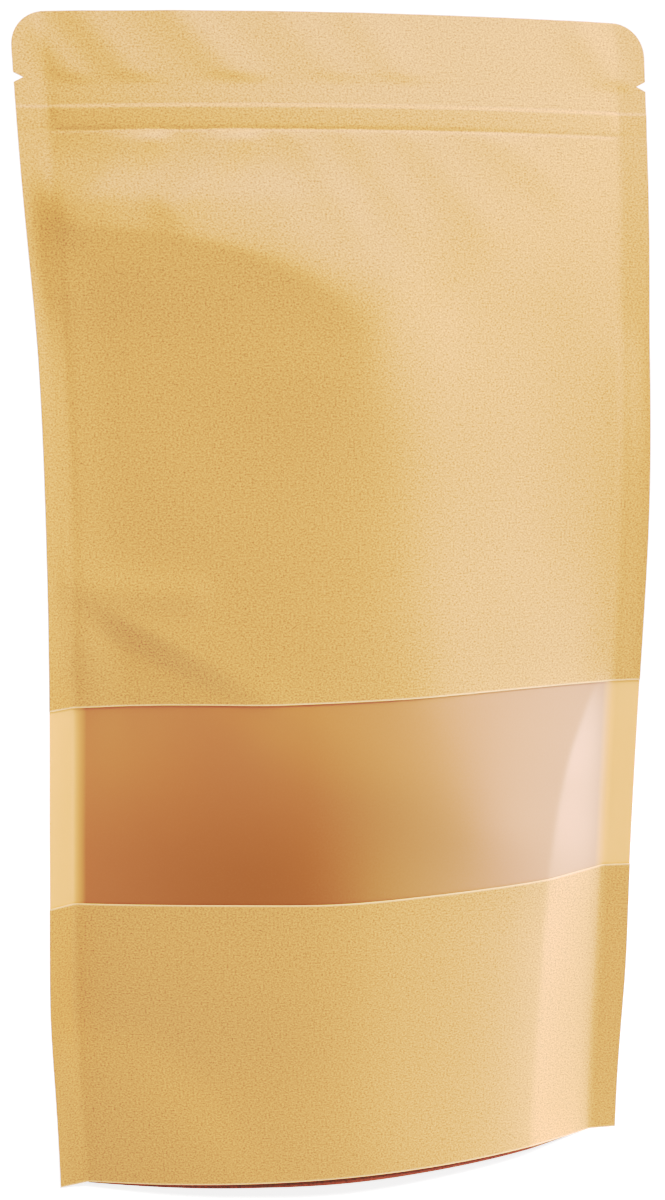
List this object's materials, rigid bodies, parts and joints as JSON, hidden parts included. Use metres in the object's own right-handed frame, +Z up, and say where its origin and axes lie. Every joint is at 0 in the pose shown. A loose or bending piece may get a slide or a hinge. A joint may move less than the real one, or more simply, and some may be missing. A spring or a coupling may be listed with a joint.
{
  "type": "stand-up kraft window bag",
  "caption": "Shut, empty kraft stand-up pouch with a frosted window strip, zip ridge, tear notches and an opened folded bottom.",
  "frame": {"origin": "on the ground, under the middle of the bag's bounding box", "axes": "+Z up along the bag's height, -Y the front with the window, +X to the right seen from the front"},
  "size_m": [0.1592, 0.04, 0.3],
  "materials": {
    "kraft_paper": "natural brown kraft paper, matt, with fine fibres and a soft sheen",
    "frosted_film": "thin frosted clear film with the brown inside showing through",
    "gusset_paper": "inner side of the folded kraft laminate, dark in the shade"
  },
  "bodies": {
    "root": {"kraft_body": "kraft_paper", "window_film": "frosted_film", "bottom_gusset": "gusset_paper"}
  },
  "joints": []
}
